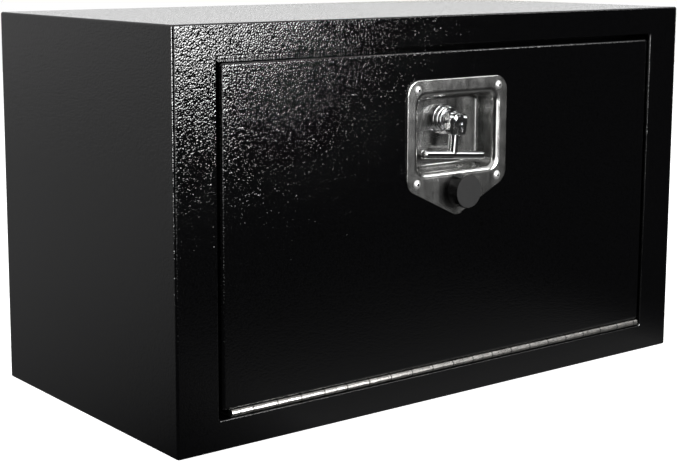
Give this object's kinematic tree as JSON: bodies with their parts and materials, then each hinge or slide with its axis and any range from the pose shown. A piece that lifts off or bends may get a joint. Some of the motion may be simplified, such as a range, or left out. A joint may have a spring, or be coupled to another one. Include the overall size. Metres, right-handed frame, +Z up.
{
  "type": "underbody truck tool box",
  "caption": "Rectangular coated steel box with a flush door hinged along its bottom edge and a recessed, lockable folding T-handle latch.",
  "frame": {"origin": "middle of the flat bottom face of the box, on the plane that it stands on", "axes": "+Z up, -Y is the side with the door, +X to the right seen from the door side, along the box's width"},
  "size_m": [0.6096, 0.3222, 0.3556],
  "materials": {
    "black_coat": "black textured semi-gloss powder coat on mild steel sheet",
    "satin_stainless": "pressed stainless sheet, satin face and polished recess",
    "bright_stainless": "bright drawn stainless",
    "chrome": "polished chrome plate on die-cast metal",
    "zinc_plate": "dull zinc-plated steel",
    "black_rubber": "matte moulded rubber"
  },
  "bodies": {
    "root": {"front_frame": "black_coat", "top_panel": "black_coat", "bottom_panel": "black_coat", "left_side_panel": "black_coat", "right_side_panel": "black_coat", "back_panel": "black_coat", "door_seal": "black_rubber", "keeper": "zinc_plate", "hinge_frame_leaf": "bright_stainless", "hinge_pin": "bright_stainless", "hinge_frame_rivet_1": "bright_stainless", "hinge_frame_rivet_2": "bright_stainless", "hinge_frame_rivet_3": "bright_stainless", "hinge_frame_rivet_4": "bright_stainless", "hinge_frame_rivet_5": "bright_stainless", "left_body_stay_stud": "zinc_plate", "right_body_stay_stud": "zinc_plate"},
    "door": {"door_outer_panel": "black_coat", "door_inner_panel": "black_coat", "hinge_door_leaf": "bright_stainless", "hinge_door_rivet_1": "bright_stainless", "hinge_door_rivet_2": "bright_stainless", "hinge_door_rivet_3": "bright_stainless", "hinge_door_rivet_4": "bright_stainless", "hinge_door_rivet_5": "bright_stainless", "latch_pan": "satin_stainless", "latch_rivet_1": "bright_stainless", "latch_rivet_2": "bright_stainless", "latch_rivet_3": "bright_stainless", "latch_rivet_4": "bright_stainless", "lock_collar": "chrome", "collar_nut": "zinc_plate", "bumper": "black_rubber", "bumper_nut": "zinc_plate", "left_door_stay_stud": "zinc_plate", "right_door_stay_stud": "zinc_plate"},
    "spindle": {"latch_spindle": "chrome", "handle_pivot_pin_1": "chrome", "handle_pivot_pin_2": "chrome", "latch_cam": "zinc_plate", "cam_washer": "zinc_plate", "cam_nut": "zinc_plate"},
    "handle": {"handle_yoke": "chrome", "handle_crossbar": "chrome"},
    "plug": {"lock_plug": "chrome"}
  },
  "joints": [
    {"name": "door_hinge", "type": "hinge", "parent": "root", "child": "door", "pos_m": [0, -0.1494, 0.0299], "axis": [1, 0, 0], "range_deg": [0, 90]},
    {"name": "handle_turn", "type": "hinge", "parent": "door", "child": "spindle", "pos_m": [0, -0.1524, 0.259], "axis": [0, 1, 0], "range_deg": [0, 90]},
    {"name": "handle_fold", "type": "hinge", "parent": "spindle", "child": "handle", "pos_m": [0.00009, -0.1484, 0.26], "axis": [-0.9959, 0, 0.0906], "range_deg": [0, 90]},
    {"name": "key_turn", "type": "hinge", "parent": "spindle", "child": "plug", "pos_m": [0, -0.1524, 0.259], "axis": [0, 1, 0], "range_deg": [0, 90]}
  ],
  "couplings": [
    {"joint": "handle_fold", "follows": "handle_turn", "ratio": 1}
  ]
}
